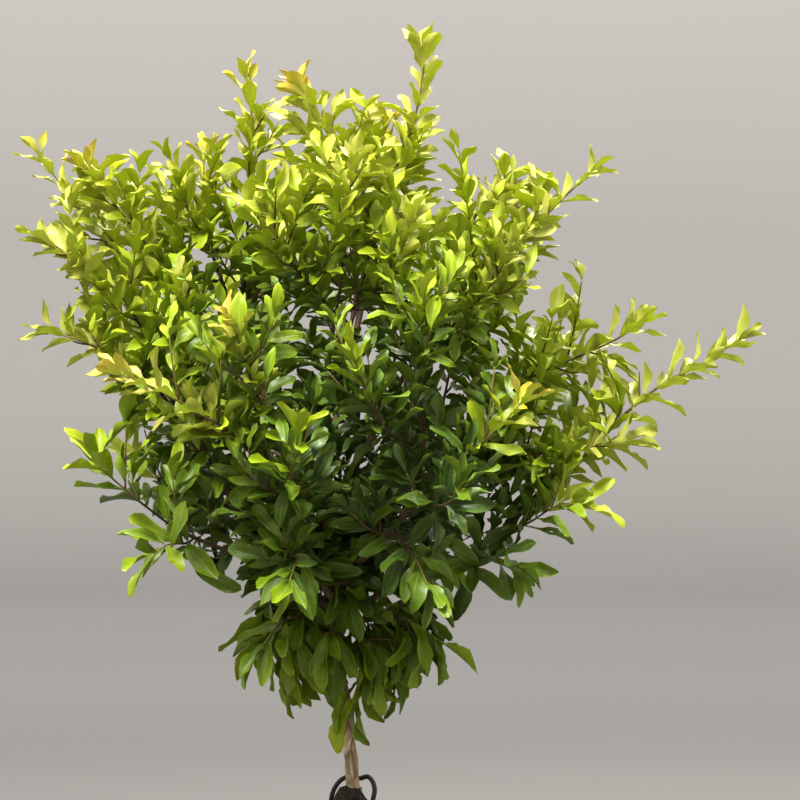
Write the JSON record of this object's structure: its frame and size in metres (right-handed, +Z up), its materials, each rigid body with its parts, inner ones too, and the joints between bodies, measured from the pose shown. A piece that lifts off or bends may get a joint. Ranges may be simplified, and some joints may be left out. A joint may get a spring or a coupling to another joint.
{
  "type": "dwarf pomegranate bonsai",
  "caption": "Small pomegranate grown as a bonsai: slender bare trunk, rounded crown of thin upright twigs with narrow glossy leaves, standing in soil in a plain round clay pot",
  "frame": {"origin": "centre of the pot's underside, on the surface that the pot stands on", "axes": "+Z up along the pot's axis, -Y towards the viewer of the picture, +X to that viewer's right"},
  "size_m": [0.4563, 0.3323, 0.5625],
  "materials": {
    "clay": "matte",
    "soil": "matte",
    "wire": "satin",
    "bark": "matte",
    "foliage": "satin"
  },
  "bodies": {
    "root": {"pot": "clay", "soil": "soil", "anchor_wire": "wire", "trunk": "bark", "leafy_shoot_01": "foliage", "leafy_shoot_02": "foliage", "leafy_shoot_03": "foliage", "leafy_shoot_04": "foliage", "leafy_shoot_05": "foliage", "leafy_shoot_06": "foliage", "leafy_shoot_07": "foliage", "leafy_shoot_08": "foliage", "leafy_shoot_09": "foliage", "leafy_shoot_10": "foliage", "leafy_shoot_11": "foliage", "leafy_shoot_12": "foliage", "leafy_shoot_13": "foliage", "leafy_shoot_14": "foliage", "leafy_shoot_15": "foliage", "leafy_shoot_16": "foliage", "leafy_shoot_17": "foliage", "leafy_shoot_18": "foliage", "leafy_shoot_19": "foliage", "leafy_shoot_20": "foliage", "leafy_shoot_21": "foliage", "leafy_shoot_22": "foliage", "leafy_shoot_23": "foliage", "leafy_shoot_24": "foliage", "leafy_shoot_25": "foliage", "leafy_shoot_26": "foliage", "leafy_shoot_27": "foliage", "leafy_shoot_28": "foliage", "leafy_shoot_29": "foliage", "leafy_shoot_30": "foliage", "leafy_shoot_31": "foliage", "leafy_shoot_32": "foliage", "leafy_shoot_33": "foliage", "leafy_shoot_34": "foliage", "leafy_shoot_35": "foliage", "leafy_shoot_36": "foliage", "leafy_shoot_37": "foliage", "leafy_shoot_38": "foliage", "leafy_shoot_39": "foliage", "leafy_shoot_40": "foliage", "leafy_shoot_41": "foliage", "leafy_shoot_42": "foliage", "leafy_shoot_43": "foliage", "leafy_shoot_44": "foliage", "leafy_shoot_45": "foliage", "leafy_shoot_46": "foliage", "leafy_shoot_47": "foliage", "leafy_shoot_48": "foliage", "leafy_shoot_49": "foliage", "leafy_shoot_50": "foliage", "leafy_shoot_51": "foliage", "leafy_shoot_52": "foliage", "leafy_shoot_53": "foliage", "leafy_shoot_54": "foliage"}
  },
  "joints": []
}
